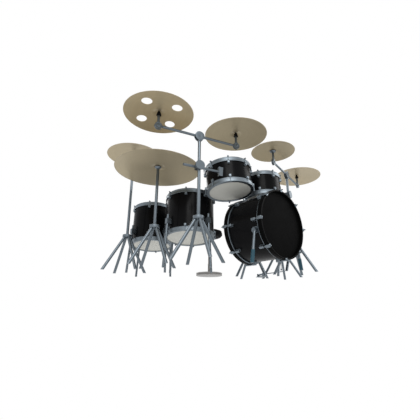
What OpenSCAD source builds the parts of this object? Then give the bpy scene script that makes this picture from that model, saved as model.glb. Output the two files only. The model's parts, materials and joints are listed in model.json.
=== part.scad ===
// Acoustic drum kit: bass drum, two rack toms, two floor toms, snare drum, hi-hat,
// six cymbals on four stands, and a throne. The floor is z = 0, the audience is
// towards -Y, the drummer towards +Y, and the floor toms are on the -X side.

/* [Bass drum] */
// Outer diameter of the bass drum hoops
bass_d = 560; // [500:5:600]
// Length of the bass drum over both hoops
bass_len = 384; // [360:1:520]
// Height of the bass drum axis above the floor
bass_z = 326; // [305:1:380]
// Width of each wooden hoop along the drum
bass_hoop_w = 38; // [30:1:48]
// Radial thickness of each wooden hoop
bass_hoop_t = 14; // [10:1:18]
// Width of each chromed flesh ring
flesh_ring_w = 7; // [5:1:10]
// Number of claws around each hoop
bass_claws_n = 8; // [6:1:10]
// Diameter of the spur tubes
spur_d = 22; // [14:1:22]
// Length of the coloured foot sleeve on each spur
spur_foot_len = 95; // [70:1:120]

/* [Toms and snare] */
// Outer diameter of the larger rack tom's hoops
rack1_d = 392; // [330:1:420]
// Depth of the larger rack tom over its hoops
rack1_h = 221; // [170:1:240]
// Outer diameter of the smaller rack tom's hoops
rack2_d = 351; // [280:1:390]
// Depth of the smaller rack tom over its hoops
rack2_h = 220; // [150:1:250]
// Outer diameter of the front floor tom's hoops
floor1_d = 440; // [360:1:460]
// Depth of the front floor tom over its hoops
floor1_h = 386; // [330:1:440]
// Outer diameter of the rear floor tom's hoops
floor2_d = 400; // [320:1:410]
// Depth of the rear floor tom over its hoops
floor2_h = 387; // [350:1:460]
// Outer diameter of the snare drum's hoops
snare_d = 356; // [320:1:380]
// Depth of the snare drum over its hoops
snare_h = 140; // [120:1:165]
// Thickness of every drum shell
shell_wall = 7; // [4:0.5:10]
// Height of the metal hoops
hoop_h = 36; // [28:1:44]
// Radial width of the hoop's flange over the head
hoop_flange = 26; // [16:1:32]
// Thickness of a drum head
head_t = 1.5; // [1:0.25:3]
// Diameter of the floor tom legs
tom_leg_d = 20; // [12:1:24]
// Height of the floor toms above the floor
floor_tom_z = 276; // [230:1:300]

/* [Cymbals] */
// Diameter of the crash cymbal with round holes
crash_left_d = 514; // [420:2:560]
// Diameter of the crash cymbal over the larger rack tom
crash_mid_d = 510; // [420:2:560]
// Diameter of the small cymbal over the smaller rack tom
splash_d = 394; // [300:2:440]
// Diameter of the cymbal on the far right
crash_right_d = 490; // [400:2:540]
// Diameter of the large ride cymbal
ride_d = 704; // [560:2:760]
// Diameter of the cymbal on the rear left stand
rear_d = 496; // [400:2:560]
// Diameter of the hi-hat cymbals
hihat_d = 356; // [300:2:380]
// Thickness of a cymbal
cymbal_t = 1.2; // [1:0.1:2.5]
// Diameter of the round holes in the left crash
vent_d = 76; // [40:1:90]
// Clear hole at the middle of a cymbal
cymbal_bore_d = 13; // [12:0.5:16]

/* [Stands] */
// Diameter of the stand poles
pole_d = 24; // [20:0.5:28]
// Diameter of the stand legs
leg_d = 24; // [16:0.5:28]
// Diameter of the stand collars
collar_d = 80; // [64:1:96]
// Height of the stand collars
collar_h = 26; // [20:1:36]
// Height of the top of the collars above the floor
collar_z = 320; // [270:1:340]
// Distance of each foot from the stand's axis
foot_reach = 196; // [170:1:230]
// Height of the boom pivots above the floor
boom_z = 963; // [900:1:1020]
// Half the distance between a boom's two tilters
boom_half = 330; // [280:1:360]
// Diameter of the boom bars and tom arms
boom_d = 20; // [16:0.5:22]
// Radius of the disc at a boom's middle pivot
pivot_disc_r = 38; // [34:1:44]
// Radius of the disc at a boom's ends
tilter_disc_r = 28; // [24:1:34]
// Height from a tilter pivot to its cymbal
post_h = 123; // [90:1:140]
// Height of the tom arms above the floor
tom_arm_z = 712; // [690:1:740]
// Height of the ride cymbal's seat
ride_z = 832; // [740:1:880]
// Height of the rear left cymbal's seat
rear_z = 1122; // [1040:1:1200]

/* [Throne] */
// Diameter of the throne's round base
throne_base_d = 250; // [220:1:280]
// Diameter of the throne's cushion
throne_seat_d = 276; // [250:1:320]
// Thickness of the throne's cushion
throne_seat_t = 81; // [60:1:100]
// Height of the top of the cushion
throne_z = 458; // [400:1:480]
// Diameter of the throne's post
throne_post_d = 18; // [14:1:24]

/* [Layout] */
// Floor position of the front left double boom stand
front_stand_xy = [-646, 76]; // [-1000:1:1000]
// Direction of the front boom in degrees
front_boom_dir = -16; // [-20:1:0]
// Floor position of the right double boom stand
right_stand_xy = [456, 35]; // [-1000:1:1000]
// Direction of the right boom in degrees
right_boom_dir = 14; // [8:1:26]
// Floor position of the ride stand
ride_stand_xy = [-740, 496]; // [-1200:1:1000]
// Floor position of the rear left stand
rear_stand_xy = [-742, 938]; // [-1200:1:1200]
// Floor position of the front floor tom
floor1_xy = [-355, 540]; // [-1000:1:1000]
// Floor position of the rear floor tom
floor2_xy = [-422, 1046]; // [-1000:1:1200]
// Centre of the larger rack tom
rack1_xy = [-277, 114]; // [-1000:1:1000]
// Centre of the smaller rack tom
rack2_xy = [141, 100]; // [-1000:1:1000]
// Floor position of the snare stand
snare_xy = [462, 532]; // [-1000:1:1000]
// Floor position of the hi-hat stand
hihat_xy = [729, 366]; // [-1000:1:1000]
// Floor position of the throne
throne_xy = [40, 721]; // [-1000:1:1000]

/* [Hidden] */
$fn = 64;

metal = [0.55, 0.59, 0.62];
chrome = [0.68, 0.72, 0.75];
black = [0.06, 0.06, 0.06];
skin = [0.72, 0.71, 0.66];
bronze = [0.70, 0.62, 0.47];
teal = [0.10, 0.28, 0.36];

// Clearances between pieces
fit = 0.05;
gap = 0.4;
floor_cut = 30;
far = 1000;

// Drum shells and hoops
hoop_t = 7;
flange_t = 6;
lug_w = 22;
big_lugs_n = 8;
small_lugs_n = 6;
rack1_lug_turn = 1;
rack2_lug_turn = 30.3;
floor1_lug_turn = 41.7;
floor2_lug_turn = 45;
snare_lug_turn = 22.5;
lug_len = 22;
lug_out = 9;
rod_r = 3.5;
claw_t = 5;
claw_grip = 7;
rack1_lean = 6.5;
rack2_lean = 3.5;
floor_lean = 6;
rack_lean_dir = 90;
floor_lean_dir = 52;
rack1_z = 608;
rack2_z = 632;
rack2_arm_z = rack2_z + rack2_h * 0.54;

// Bass drum, worked out from its hoops
bass_r = bass_d / 2;
bass_shell_r = bass_r - bass_hoop_t - 3;
bass_ring_r = bass_r - 4;
bass_head_in = 20;
bass_shell_len = bass_len - 2 * bass_head_in - 2 * head_t;
bass_lug_len = 40;
bass_claw_w = 26;

// Spurs: the bracket on the shell, and the foot in front of and outside it
spur_y = -122;
spur_angle = 17;
spur_stand_out = 22;
spur_toe_out = 43;
spur_toe_front = 0;
spur_bracket_w = 44;
spur_bracket_h = 50;
spur_foot_r = spur_d / 2 + 3;
spur_sink = 10;
spur_face = -(spur_d / 2 + 1);
spur_disc_r = 20;
spur_disc_t = spur_d + 2;
spur_tube_end = 60;
spur_bore_end = 32;

// Stands
pole_r = pole_d / 2;
boom_r = boom_d / 2;
leg_top_reach = 24;
cheek_t = 5;
hub_r = 30;
pin_r = 6;
eye_t = 10;
tilter_pin_r = 5;
clamp_r = 37;
arm_offset = pole_r + boom_r + 3;
arm_stub = 118;
seat_gap = 2;
rod_top_r = 4;
sleeve_r = 18;
sleeve_h = 34;
cup_r = 28;
cup_h = 16;
felt_h = 9;
felt_r = 15;
top_felt_h = 8;
nut_r = 6;
nut_h = 12;
wing_w = 34;
wing_t = 4;
wing_h = 9;

// Floor tom legs
leg_count = 4;
socket_z = 100;
socket_h = 46;
socket_w = 30;
leg_rise = 60;

// Snare stand and hi-hat
basket_z = 462;
basket_arm_d = 14;
snare_z = 492;
lever_len = 60;
hihat_cup_z = 752;
hihat_rod_r = 3;
hihat_rod_z = 925;
hihat_open = 30;
pedal_dir = 160;
pedal_len = 250;
pedal_w = 84;
pedal_rise = 9;
pedal_heel_z = 24;
heel_pin_r = 4;

// Throne
throne_disc_t = 11;
throne_disc_gap = 5;
throne_sleeve_h = 90;
throne_sleeve_t = 3.5;
throne_seat_bore = 20;

// The whole kit is shifted so that the middle of its box is over the origin
front_end = [cos(front_boom_dir), sin(front_boom_dir)] * boom_half;
right_end = [cos(right_boom_dir), sin(right_boom_dir)] * boom_half;
kit_x_low = min(front_stand_xy[0] - front_end[0] - crash_left_d / 2, ride_stand_xy[0] - ride_d / 2,
    rear_stand_xy[0] - rear_d / 2);
kit_x_high = right_stand_xy[0] + right_end[0] + crash_right_d / 2;
kit_y_low = front_stand_xy[1] + front_end[1] - crash_mid_d / 2;
floor2_top_y = floor2_xy[1] + floor2_h * sin(floor_lean) * sin(floor_lean_dir);
kit_y_high = max(rear_stand_xy[1] + rear_d / 2, floor2_top_y + floor2_d / 2 + lug_out);
kit_shift = [-(kit_x_low + kit_x_high) / 2, -(kit_y_low + kit_y_high) / 2, 0];

// ---------- helpers ----------

// Unit direction on the floor plane
function dir2(a) = [cos(a), sin(a), 0];

// Places a stand, turned about its own axis
module at(xy, z = 0, turn = 0) {
    translate(kit_shift) translate([xy[0], xy[1], z]) rotate([0, 0, turn]) children();
}

// Leans a drum towards a direction about the middle of its lower hoop
module lean(angle, towards) {
    rotate([0, 0, towards]) rotate([0, angle, 0]) rotate([0, 0, -towards]) children();
}

// A round bar from one point to another
module bar(p, q, r) {
    v = q - p;
    turn = [0, acos(v[2] / norm(v)), atan2(v[1], v[0])];
    translate(p) rotate(turn) cylinder(r = r, h = norm(v));
}

module ring(ro, ri, h) {
    difference() {
        cylinder(r = ro, h = h);
        translate([0, 0, -1]) cylinder(r = ri, h = h + 2);
    }
}

// ---------- drums, standing on their lower hoop's face ----------

function shell_r(d) = d / 2 - hoop_t - gap;

module drum_shell(d, h) {
    edge = flange_t + head_t;
    color(black) translate([0, 0, edge]) ring(shell_r(d), shell_r(d) - shell_wall, h - 2 * edge);
}

module drum_head(d) {
    color(skin) translate([0, 0, flange_t]) cylinder(r = shell_r(d), h = head_t);
}

// The hoop's skirt goes down the shell and its flange holds the head's edge
module drum_hoop(d) {
    r = d / 2;
    bevel = 2;
    color(chrome) rotate_extrude() polygon([[r - hoop_flange, 0], [r - bevel, 0], [r, bevel],
        [r, hoop_h], [r - hoop_t, hoop_h], [r - hoop_t, flange_t], [r - hoop_flange, flange_t]]);
}

// A lug casing on the shell, its tension rod, and the claw that pulls on the hoop
module tension_lug(r_shell, r_hoop, hoop_w, w, len) {
    rod_x = r_hoop + rod_r + 1;
    difference() {
        translate([r_shell - 4, -w / 2, hoop_w + 2]) cube([r_hoop + lug_out - r_shell + 4, w, len]);
        translate([0, 0, hoop_w]) cylinder(r = r_shell, h = len + 4, $fn = 128);
    }
    translate([rod_x, 0, -claw_t - 3]) cylinder(r = rod_r, h = hoop_w + claw_t + 6);
    translate([r_hoop - claw_grip, -w * 0.35, -claw_t])
        cube([claw_grip + 2 * rod_r + 2, w * 0.7, claw_t]);
}

module lug_circle(n, turn = 0) {
    for (i = [0 : n - 1]) rotate([0, 0, turn + i * 360 / n]) children();
}

module both_ends(h) {
    children();
    translate([0, 0, h]) mirror([0, 0, 1]) children();
}

module drum_heads(d, h) { both_ends(h) drum_head(d); }
module drum_hoops(d, h) { both_ends(h) drum_hoop(d); }

module drum_lugs(d, h, n, turn = 0) {
    color(metal) both_ends(h) lug_circle(n, turn)
        tension_lug(shell_r(d), d / 2, hoop_h, lug_w, lug_len);
}

// ---------- bass drum, its axis along Y ----------

module on_bass() {
    translate(kit_shift) translate([0, -bass_len / 2, bass_z]) rotate([-90, 0, 0]) children();
}

module bass_shell() {
    start = bass_head_in + head_t;
    color(black) on_bass() translate([0, 0, start])
        ring(bass_shell_r, bass_shell_r - shell_wall, bass_shell_len);
}

module bass_head() {
    translate([0, 0, bass_head_in]) cylinder(r = bass_shell_r, h = head_t);
}

module bass_front_head() { color(black) on_bass() bass_head(); }

module bass_back_head() {
    color(skin) on_bass() translate([0, 0, bass_len]) mirror([0, 0, 1]) bass_head();
}

module bass_hoops() {
    color(black) on_bass() both_ends(bass_len) ring(bass_r, bass_r - bass_hoop_t, bass_hoop_w);
}

// The flesh ring sits on the shell, against the inner edge of the wooden hoop
module bass_flesh_rings() {
    color(chrome) on_bass() both_ends(bass_len) translate([0, 0, bass_hoop_w])
        ring(bass_ring_r, bass_shell_r, flesh_ring_w);
}

module bass_claws() {
    color(metal) on_bass() both_ends(bass_len) lug_circle(bass_claws_n) {
        translate([bass_r - bass_hoop_t + 2, -bass_claw_w / 2, -claw_t])
            cube([bass_hoop_t + 8, bass_claw_w, claw_t]);
        translate([bass_r + 0.5, -bass_claw_w / 2, -claw_t])
            cube([9.5, bass_claw_w, bass_hoop_w + claw_t - 4]);
        translate([bass_r + 5, 0, bass_hoop_w - 10])
            cylinder(r = rod_r, h = flesh_ring_w + 16);
    }
}

module bass_lugs() {
    start = bass_hoop_w + flesh_ring_w + 6;
    color(metal) on_bass() both_ends(bass_len) lug_circle(bass_claws_n) difference() {
        translate([bass_shell_r - 4, -lug_w / 2, start])
            cube([bass_r + 11 - bass_shell_r + 4, lug_w, bass_lug_len]);
        translate([0, 0, start - 1]) cylinder(r = bass_shell_r, h = bass_lug_len + 2, $fn = 128);
        translate([bass_r + 5, 0, start - 1]) cylinder(r = rod_r + fit, h = 9);
    }
}

// ---------- spurs: side is -1 on the left and 1 on the right ----------

spur_pivot_r = bass_shell_r + spur_stand_out;
function spur_top(side) = [side * spur_pivot_r * cos(spur_angle), spur_y,
    bass_z - spur_pivot_r * sin(spur_angle)];
function spur_toe(side) = spur_top(side) + [side * spur_toe_out, -spur_toe_front, -spur_top(side)[2]];
function spur_at(side, t) = spur_top(side) + (spur_toe(side) - spur_top(side)) * t;
spur_len = norm(spur_toe(1) - spur_top(1));

module spur_bracket(side) {
    difference() {
        translate(spur_top(side)) rotate([0, side * spur_angle, 0])
            translate([side > 0 ? -spur_stand_out - spur_sink : -spur_face, -spur_bracket_w / 2,
                -spur_bracket_h / 2])
            cube([spur_stand_out + spur_sink + spur_face, spur_bracket_w, spur_bracket_h]);
        translate([0, -bass_len / 2, bass_z]) rotate([-90, 0, 0])
            cylinder(r = bass_shell_r, h = bass_len, $fn = 128);
    }
}

module spur_brackets() {
    color(metal) translate(kit_shift) for (side = [-1, 1]) spur_bracket(side);
}

// A disc on the bracket's outer face, and the tube that goes down to the toe
module spur(side) {
    top = spur_top(side);
    color(metal) translate(kit_shift) {
        translate(top) rotate([0, side * (90 + spur_angle), 0]) translate([0, 0, spur_face + gap])
            cylinder(r = spur_disc_r, h = spur_disc_t);
        bar(top, spur_at(side, 1 - spur_tube_end / spur_len), spur_d / 2);
    }
}

module spur_left() { spur(-1); }
module spur_right() { spur(1); }

// A sleeve that slides on the tube, cut flat where it meets the floor
module spur_foot(side) {
    start = 1 - spur_foot_len / spur_len;
    bore_end = 1 - spur_bore_end / spur_len;
    color(teal) translate(kit_shift) difference() {
        bar(spur_at(side, start), spur_at(side, 1.1), spur_foot_r);
        bar(spur_at(side, start - 0.1), spur_at(side, bore_end), spur_d / 2 + fit);
        translate([-far, -far, -2 * floor_cut]) cube([2 * far, 2 * far, 2 * floor_cut]);
    }
}

module spur_foot_left() { spur_foot(-1); }
module spur_foot_right() { spur_foot(1); }

// ---------- rack toms and their arms ----------

module on_rack1() { at(rack1_xy, rack1_z) lean(rack1_lean, rack_lean_dir) children(); }
module on_rack2() { at(rack2_xy, rack2_z) lean(rack2_lean, rack_lean_dir) children(); }

module rack1_shell() { on_rack1() drum_shell(rack1_d, rack1_h); }
module rack1_heads() { on_rack1() drum_heads(rack1_d, rack1_h); }
module rack1_hoops() { on_rack1() drum_hoops(rack1_d, rack1_h); }
module rack1_lugs() { on_rack1() drum_lugs(rack1_d, rack1_h, big_lugs_n, rack1_lug_turn); }
module rack2_shell() { on_rack2() drum_shell(rack2_d, rack2_h); }
module rack2_heads() { on_rack2() drum_heads(rack2_d, rack2_h); }
module rack2_hoops() { on_rack2() drum_hoops(rack2_d, rack2_h); }
module rack2_lugs() { on_rack2() drum_lugs(rack2_d, rack2_h, big_lugs_n, rack2_lug_turn); }

// How far along its line an arm meets a drum shell
function arm_reach(stand, tom, r, along, side) =
    let (u = dir2(along), n = dir2(along + 90),
         v = [tom[0] - stand[0], tom[1] - stand[1], 0],
         off = side * arm_offset - v * n)
    v * u - sqrt(r * r - off * off);

plate_h = 76;
plate_w = 24;
plate_t = 16;

// The arm's bar passes behind the pole and ends in a plate that is cut to fit the shell
module tom_arm(reach, side) {
    bar([-arm_stub, side * arm_offset, 0], [reach - plate_t / 2, side * arm_offset, 0], boom_r);
    translate([reach - plate_t, side * arm_offset - plate_w / 2, -plate_h / 2])
        cube([plate_t + 26, plate_w, plate_h]);
}

rack1_reach = arm_reach(front_stand_xy, rack1_xy, shell_r(rack1_d), front_boom_dir, 1);
rack2_reach = arm_reach(right_stand_xy, rack2_xy, shell_r(rack2_d), right_boom_dir + 180, -1);

module rack1_arm() {
    color(metal) difference() {
        at(front_stand_xy, tom_arm_z, front_boom_dir) tom_arm(rack1_reach, 1);
        on_rack1() translate([0, 0, 1]) cylinder(r = shell_r(rack1_d), h = rack1_h - 2, $fn = 128);
    }
}

module rack2_arm() {
    color(metal) difference() {
        at(right_stand_xy, rack2_arm_z, right_boom_dir + 180) tom_arm(rack2_reach, -1);
        on_rack2() translate([0, 0, 1]) cylinder(r = shell_r(rack2_d), h = rack2_h - 2, $fn = 128);
    }
}

// A clamp fixed on the pole, with a round face, and a cross bore for the arm behind it
module tom_clamp(side) {
    depth = 12;
    block_w = 40;
    block_h = 44;
    back = arm_offset + boom_r + 5;
    difference() {
        union() {
            translate([0, -side * (pole_r + depth + 2), 0]) rotate([-side * 90, 0, 0])
                cylinder(r = clamp_r, h = depth);
            translate([-block_w / 2, side > 0 ? -pole_r - 3 : -back, -block_h / 2])
                cube([block_w, pole_r + 3 + back, block_h]);
        }
        translate([0, 0, -far / 2]) cylinder(r = pole_r + fit, h = far);
        translate([-far / 2, side * arm_offset, 0]) rotate([0, 90, 0])
            cylinder(r = boom_r + fit, h = far);
    }
}

module tom_clamps() {
    color(metal) {
        at(front_stand_xy, tom_arm_z, front_boom_dir) tom_clamp(1);
        at(right_stand_xy, rack2_arm_z, right_boom_dir) tom_clamp(1);
    }
}

// ---------- floor toms ----------

module on_floor1() { at(floor1_xy, floor_tom_z) lean(floor_lean, floor_lean_dir) children(); }
module on_floor2() { at(floor2_xy, floor_tom_z) lean(floor_lean, floor_lean_dir) children(); }

module floor1_shell() { on_floor1() drum_shell(floor1_d, floor1_h); }
module floor2_shell() { on_floor2() drum_shell(floor2_d, floor2_h); }

module floor_drum_heads() {
    on_floor1() drum_heads(floor1_d, floor1_h);
    on_floor2() drum_heads(floor2_d, floor2_h);
    on_snare() drum_heads(snare_d, snare_h);
}

module floor_drum_hoops() {
    on_floor1() drum_hoops(floor1_d, floor1_h);
    on_floor2() drum_hoops(floor2_d, floor2_h);
    on_snare() drum_hoops(snare_d, snare_h);
}

module floor_drum_lugs() {
    on_floor1() drum_lugs(floor1_d, floor1_h, big_lugs_n, floor1_lug_turn);
    on_floor2() drum_lugs(floor2_d, floor2_h, small_lugs_n, floor2_lug_turn);
    on_snare() drum_lugs(snare_d, snare_h, big_lugs_n, snare_lug_turn);
}

// Legs stand off the hoop, and splay outwards to the floor
leg_turn = 1.5;
front_feet_turn = 28;
right_feet_turn = 58;
ride_feet_turn = 42;
rear_feet_turn = 44;
snare_feet_turn = 33;
leg_clear = 12;
function leg_r(d) = d / 2 + leg_clear + tom_leg_d / 2;
splay_angle = 3;

module tom_leg_axis(d, i) {
    rotate([0, 0, leg_turn + i * 360 / leg_count]) translate([leg_r(d), 0, socket_z])
        rotate([0, 180 - splay_angle, 0]) children();
}

module tom_sockets(d) {
    for (i = [0 : leg_count - 1]) difference() {
        rotate([0, 0, leg_turn + i * 360 / leg_count])
            translate([shell_r(d) - 4, -socket_w / 2, socket_z - socket_h / 2])
            cube([leg_r(d) + tom_leg_d / 2 + 4 - shell_r(d) + 4, socket_w, socket_h]);
        cylinder(r = shell_r(d), h = far, $fn = 128);
        tom_leg_axis(d, i) translate([0, 0, -far / 2]) cylinder(r = tom_leg_d / 2 + fit, h = far);
    }
}

module tom_legs(d) {
    for (i = [0 : leg_count - 1]) tom_leg_axis(d, i) translate([0, 0, -leg_rise])
        cylinder(r = tom_leg_d / 2, h = leg_rise + floor_tom_z + socket_z + 2 * floor_cut);
}

module floor_tom_sockets() {
    color(metal) {
        on_floor1() tom_sockets(floor1_d);
        on_floor2() tom_sockets(floor2_d);
    }
}

module floor_tom_legs() {
    color(metal) difference() {
        union() {
            on_floor1() tom_legs(floor1_d);
            on_floor2() tom_legs(floor2_d);
        }
        translate([-2 * far, -2 * far, -4 * floor_cut - far])
            cube([4 * far, 4 * far, 4 * floor_cut + far]);
    }
}

// ---------- snare drum ----------

module on_snare() { at(snare_xy, snare_z) children(); }

module snare_shell() { on_snare() drum_shell(snare_d, snare_h); }

wire_n = 12;
wire_r = 0.7;
wire_pitch = 3.4;
wire_len = 250;

// Twelve wires between two end plates, just under the lower head
module snare_wires() {
    plate = [12, wire_n * wire_pitch + 4, 1.5];
    color(chrome) on_snare() translate([0, 0, flange_t - 2]) {
        for (i = [0 : wire_n - 1])
            translate([-wire_len / 2, (i - (wire_n - 1) / 2) * wire_pitch, 0])
            rotate([0, 90, 0]) cylinder(r = wire_r, h = wire_len, $fn = 16);
        for (side = [-1, 1]) translate([side * wire_len / 2, 0, 0]) cube(plate, center = true);
    }
}

strainer_out = 14;
strainer_z = snare_h / 2;

module snare_strainer() {
    r = shell_r(snare_d);
    color(metal) on_snare() difference() {
        translate([r - 4, -16, strainer_z - 20]) cube([4 + strainer_out, 32, 40]);
        translate([0, 0, -1]) cylinder(r = r, h = snare_h + 2, $fn = 128);
    }
}

// The throw-off lever turns on the strainer's face
module snare_lever() {
    x = shell_r(snare_d) + strainer_out + gap;
    color(chrome) on_snare() translate([x, 0, strainer_z]) rotate([0, 90, 0]) {
        cylinder(r = 9, h = 6);
        translate([-lever_len, -6, 0]) cube([lever_len, 12, 6]);
    }
}

// A hub on the stand, three arms, and an upturned claw under the hoop
module snare_basket() {
    reach = snare_d / 2 - 8;
    color(metal) at(snare_xy, basket_z) {
        translate([0, 0, -16]) cylinder(r = 22, h = 32);
        for (i = [0 : 2]) rotate([0, 0, 30 + i * 120]) {
            bar([0, 0, 0], [reach, 0, 0], basket_arm_d / 2);
            translate([reach, 0, 0]) cylinder(r = basket_arm_d / 2 + 1, h = snare_z - basket_z);
        }
    }
}

// ---------- stands ----------

module each_stand() {
    at(front_stand_xy, 0, front_feet_turn) children();
    at(right_stand_xy, 0, right_feet_turn) children();
    at(ride_stand_xy, 0, ride_feet_turn) children();
    at(rear_stand_xy, 0, rear_feet_turn) children();
    at(snare_xy, 0, snare_feet_turn) children();
    at(hihat_xy, 0, pedal_dir) children();
}

module stand_collars() {
    color(metal) each_stand() translate([0, 0, collar_z - collar_h])
        ring(collar_d / 2, pole_r + fit, collar_h);
}

// Four straight tubes, cut flat against the collar and against the floor
module leg_set() {
    low = collar_z - collar_h;
    rise = 40;
    slope = (foot_reach - leg_top_reach) / low;
    for (i = [0 : 3]) rotate([0, 0, 45 + 90 * i]) difference() {
        bar([foot_reach + slope * rise, 0, -rise], [leg_top_reach - slope * rise, 0, low + rise],
            leg_d / 2);
        translate([-collar_d, -collar_d, low]) cube([4 * collar_d, 2 * collar_d, 4 * rise]);
        translate([0, -collar_d, -4 * rise]) cube([2 * foot_reach, 2 * collar_d, 4 * rise]);
    }
}

module stand_legs() { color(metal) each_stand() leg_set(); }

// The pole's head: two cheeks on a bridge, and the pin that the boom turns on
module boom_pole() {
    cheek_y = boom_r + gap;
    width = 2 * (cheek_y + cheek_t);
    translate([0, 0, collar_z - collar_h])
        cylinder(r = pole_r, h = boom_z - hub_r - 8 - collar_z + collar_h);
    difference() {
        translate([0, width / 2, boom_z]) rotate([90, 0, 0]) cylinder(r = pivot_disc_r, h = width);
        translate([0, cheek_y, boom_z]) rotate([90, 0, 0])
            cylinder(r = pivot_disc_r + 1, h = 2 * cheek_y);
    }
    translate([-pole_r, -width / 2, boom_z - hub_r - 16]) cube([2 * pole_r, width, 15]);
    translate([0, width / 2, boom_z]) rotate([90, 0, 0]) cylinder(r = pin_r, h = width);
}

// A straight pole with a cup for the lower felt, and a rod up through the cymbal
module straight_pole(z) {
    cup_top = z - seat_gap - felt_h;
    translate([0, 0, collar_z - collar_h])
        cylinder(r = pole_r, h = cup_top - cup_h / 2 - collar_z + collar_h);
    translate([0, 0, cup_top - cup_h]) cylinder(r = cup_r, h = cup_h);
    cymbal_rod(z, cup_top - 1);
}

// The threaded rod and its wing nut, from z_from to above a cymbal seated at z
module cymbal_rod(z, z_from) {
    top = z + cymbal_t + seat_gap + top_felt_h;
    translate([0, 0, z_from]) cylinder(r = rod_top_r, h = top + nut_h + 6 - z_from);
    translate([0, 0, top]) cylinder(r = nut_r, h = nut_h);
    translate([-wing_w / 2, -wing_t / 2, top + nut_h - wing_h]) cube([wing_w, wing_t, wing_h]);
}

module hihat_tube() {
    difference() {
        union() {
            translate([0, 0, collar_z - collar_h])
                cylinder(r = pole_r, h = hihat_cup_z - 6 - collar_z + collar_h);
            translate([0, 0, hihat_cup_z - cup_h]) cylinder(r = cup_r, h = cup_h);
        }
        translate([0, 0, -1]) cylinder(r = hihat_rod_r + 2, h = far);
    }
}

module stand_poles() {
    color(metal) {
        at(front_stand_xy, 0, front_boom_dir) boom_pole();
        at(right_stand_xy, 0, right_boom_dir) boom_pole();
        at(ride_stand_xy) straight_pole(ride_z);
        at(rear_stand_xy) straight_pole(rear_z);
        at(snare_xy) translate([0, 0, collar_z - collar_h])
            cylinder(r = pole_r, h = basket_z - 16 - collar_z + collar_h);
        at(hihat_xy) hihat_tube();
    }
}

// ---------- booms ----------

module boom() {
    eye_r = tilter_disc_r - 3;
    tongue = tilter_disc_r + 6;
    difference() {
        union() {
            bar([-boom_half + tongue, 0, 0], [boom_half - tongue, 0, 0], boom_r);
            translate([0, boom_r, 0]) rotate([90, 0, 0]) cylinder(r = hub_r, h = boom_d);
            for (side = [-1, 1]) {
                translate([side * (boom_half - tongue / 2 - 2), 0, 0])
                    cube([tongue + 4, eye_t, 16], center = true);
                translate([side * boom_half, eye_t / 2, 0]) rotate([90, 0, 0])
                    cylinder(r = eye_r, h = eye_t);
            }
        }
        translate([0, boom_d, 0]) rotate([90, 0, 0]) cylinder(r = pin_r + fit, h = 2 * boom_d);
        for (side = [-1, 1]) translate([side * boom_half, boom_d, 0]) rotate([90, 0, 0])
            cylinder(r = tilter_pin_r + fit, h = 2 * boom_d);
    }
}

module front_boom() { color(metal) at(front_stand_xy, boom_z, front_boom_dir) boom(); }
module right_boom() { color(metal) at(right_stand_xy, boom_z, right_boom_dir) boom(); }

// Two discs on the boom's eye, the post, its seat, and the rod with its wing nut
module tilter(cup) {
    cheek_y = eye_t / 2 + gap;
    width = 2 * (cheek_y + cheek_t);
    seat = post_h - seat_gap;
    difference() {
        translate([0, width / 2, 0]) rotate([90, 0, 0]) cylinder(r = tilter_disc_r, h = width);
        translate([0, cheek_y, 0]) rotate([90, 0, 0]) cylinder(r = tilter_disc_r + 1, h = 2 * cheek_y);
    }
    translate([0, width / 2, 0]) rotate([90, 0, 0]) cylinder(r = tilter_pin_r, h = width);
    translate([-boom_r, -width / 2, tilter_disc_r - 2]) cube([boom_d, width, 8]);
    translate([0, 0, tilter_disc_r]) cylinder(r = boom_r,
        h = seat - (cup ? felt_h + cup_h : sleeve_h) - tilter_disc_r + 3);
    if (cup) {
        translate([0, 0, seat - felt_h - cup_h]) cylinder(r = cup_r, h = cup_h);
        translate([0, 0, seat - felt_h]) cylinder(r1 = felt_r, r2 = rod_top_r + 2, h = felt_h);
    } else {
        translate([0, 0, seat - sleeve_h]) cylinder(r1 = sleeve_r, r2 = rod_top_r + 2, h = sleeve_h);
    }
    translate([0, 0, post_h + cymbal_t + seat_gap])
        cylinder(r1 = rod_top_r + 2, r2 = felt_r, h = top_felt_h);
    cymbal_rod(post_h, seat - 4);
}

module tilter_left() {
    color(metal) at(front_stand_xy, boom_z, front_boom_dir) translate([-boom_half, 0, 0]) tilter(false);
}
module tilter_mid() {
    color(metal) at(front_stand_xy, boom_z, front_boom_dir) translate([boom_half, 0, 0]) tilter(false);
}
module tilter_splash() {
    color(metal) at(right_stand_xy, boom_z, right_boom_dir) translate([-boom_half, 0, 0]) tilter(true);
}
module tilter_right() {
    color(metal) at(right_stand_xy, boom_z, right_boom_dir) translate([boom_half, 0, 0]) tilter(false);
}

// ---------- cymbals ----------

bell_steps = 5;
bow_steps = 9;
vent_ring = 0.3;
vent_turn = 40;

// Height of a cymbal's underside at radius q: a domed bell, then a shallow bow
function cymbal_z(q, r, bell_r, bell_h, bow) = q < bell_r
    ? -bell_h * pow(q / bell_r, 2)
    : -bell_h - bow * pow((q - bell_r) / (r - bell_r), 1.3);

function cymbal_line(r, bell_r, bell_h, bow) = [
    for (i = [0 : bell_steps + bow_steps])
        let (hole = cymbal_bore_d / 2,
             q = i < bell_steps ? hole + (bell_r - hole) * i / bell_steps
                : bell_r + (r - bell_r) * (i - bell_steps) / bow_steps)
        [q, cymbal_z(q, r, bell_r, bell_h, bow)]];

module cymbal(d, bow) {
    bell_r = d * 0.11;
    bell_h = d * 0.022;
    low = cymbal_line(d / 2, bell_r, bell_h, bow);
    high = [for (i = [len(low) - 1 : -1 : 0]) [low[i][0], low[i][1] + cymbal_t]];
    color(bronze) rotate_extrude($fn = 96) polygon(concat(low, high));
}

function bow_of(d) = d * 0.027;

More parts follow.
